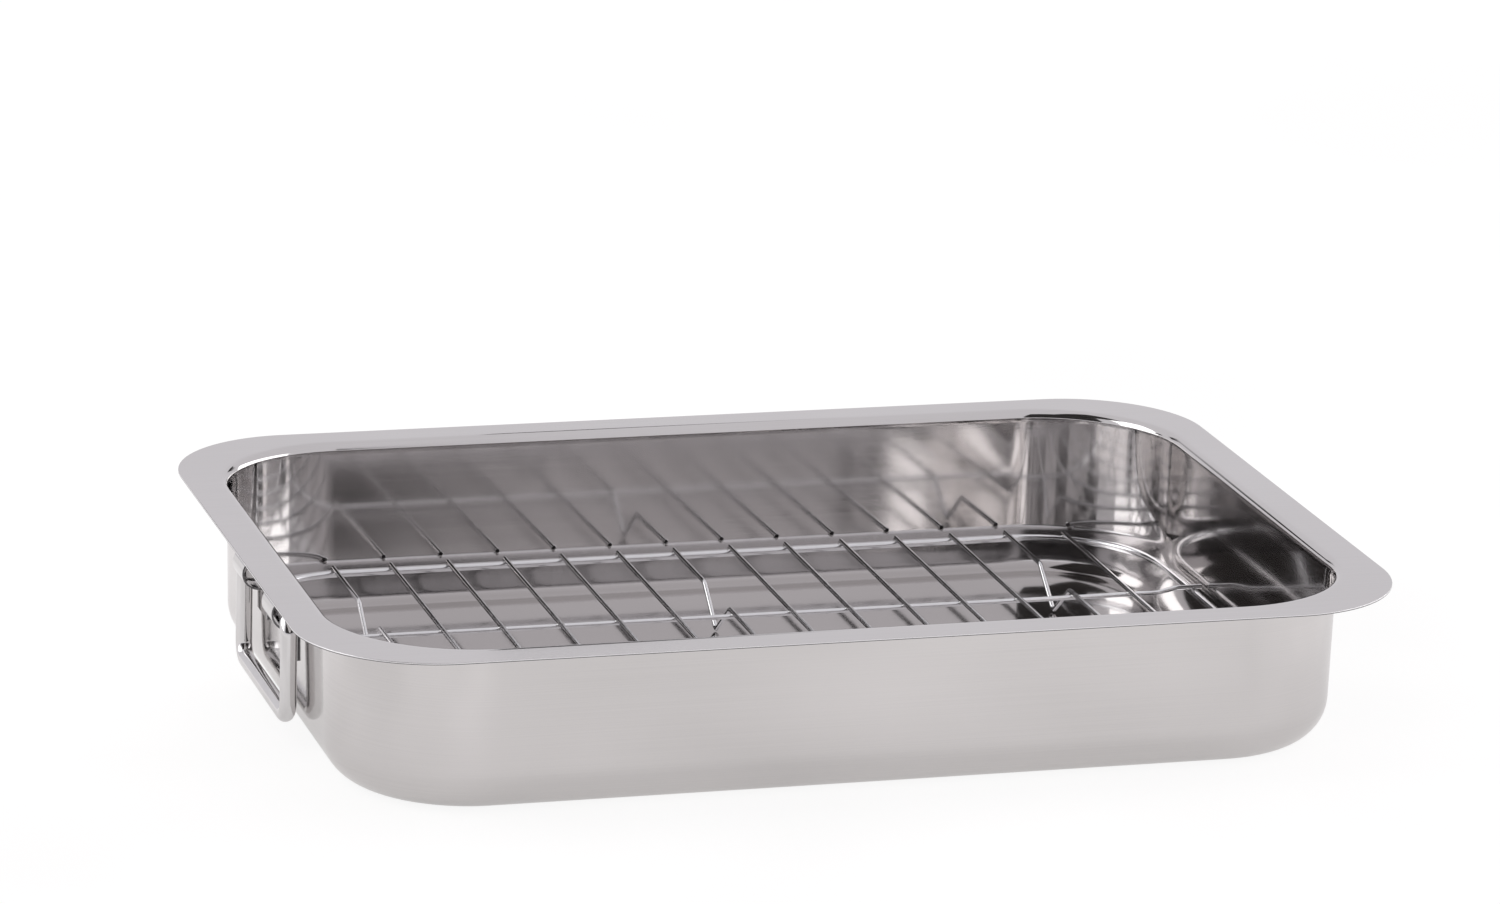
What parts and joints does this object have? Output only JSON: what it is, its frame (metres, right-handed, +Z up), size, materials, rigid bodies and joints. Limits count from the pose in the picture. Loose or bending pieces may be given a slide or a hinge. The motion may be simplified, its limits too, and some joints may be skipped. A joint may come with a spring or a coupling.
{
  "type": "roasting pan with rack",
  "caption": "Shallow rectangular steel roasting pan with rounded corners, flat rim, lift-out wire rack on bent feet and hanging bail handles in curled end clips.",
  "frame": {"origin": "middle of the pan's underside, on the surface it stands on", "axes": "+X along the pan to the right-hand handle, +Y across it to the back, +Z up"},
  "size_m": [0.3302, 0.2388, 0.0508],
  "materials": {
    "pan_steel": "drawn stainless sheet, satin inside and out, bright cut edge",
    "clip_steel": "thin satin steel strip",
    "handle_steel": "polished round bar",
    "rack_wire": "bright plated wire"
  },
  "bodies": {
    "pan": {"pan_shell": "pan_steel", "handle_clip_left_front": "clip_steel", "handle_clip_left_back": "clip_steel", "handle_clip_right_front": "clip_steel", "handle_clip_right_back": "clip_steel"},
    "rack": {"rack_ring": "rack_wire", "long_wire_front": "rack_wire", "long_wire_back": "rack_wire", "foot_wire_1": "rack_wire", "foot_wire_2": "rack_wire", "foot_wire_3": "rack_wire", "cross_wire_01": "rack_wire", "cross_wire_02": "rack_wire", "cross_wire_03": "rack_wire", "cross_wire_04": "rack_wire", "cross_wire_05": "rack_wire", "cross_wire_06": "rack_wire", "cross_wire_07": "rack_wire", "cross_wire_08": "rack_wire", "cross_wire_09": "rack_wire", "cross_wire_10": "rack_wire", "cross_wire_11": "rack_wire", "cross_wire_12": "rack_wire"},
    "handle_left": {"handle_left": "handle_steel"},
    "handle_right": {"handle_right": "handle_steel"}
  },
  "joints": [
    {"name": "rack_lift", "type": "slide", "parent": "pan", "child": "rack", "axis": [0, 0, 1], "range_m": [0, 0.146]},
    {"name": "handle_left_swing", "type": "hinge", "parent": "pan", "child": "handle_left", "pos_m": [-0.1562, -0.0045, 0.0386], "axis": [0, 1, 0], "range_deg": [-3, 131]},
    {"name": "handle_right_swing", "type": "hinge", "parent": "pan", "child": "handle_right", "pos_m": [0.1562, 0.0045, 0.0386], "axis": [0, -1, 0], "range_deg": [-3, 131]}
  ]
}
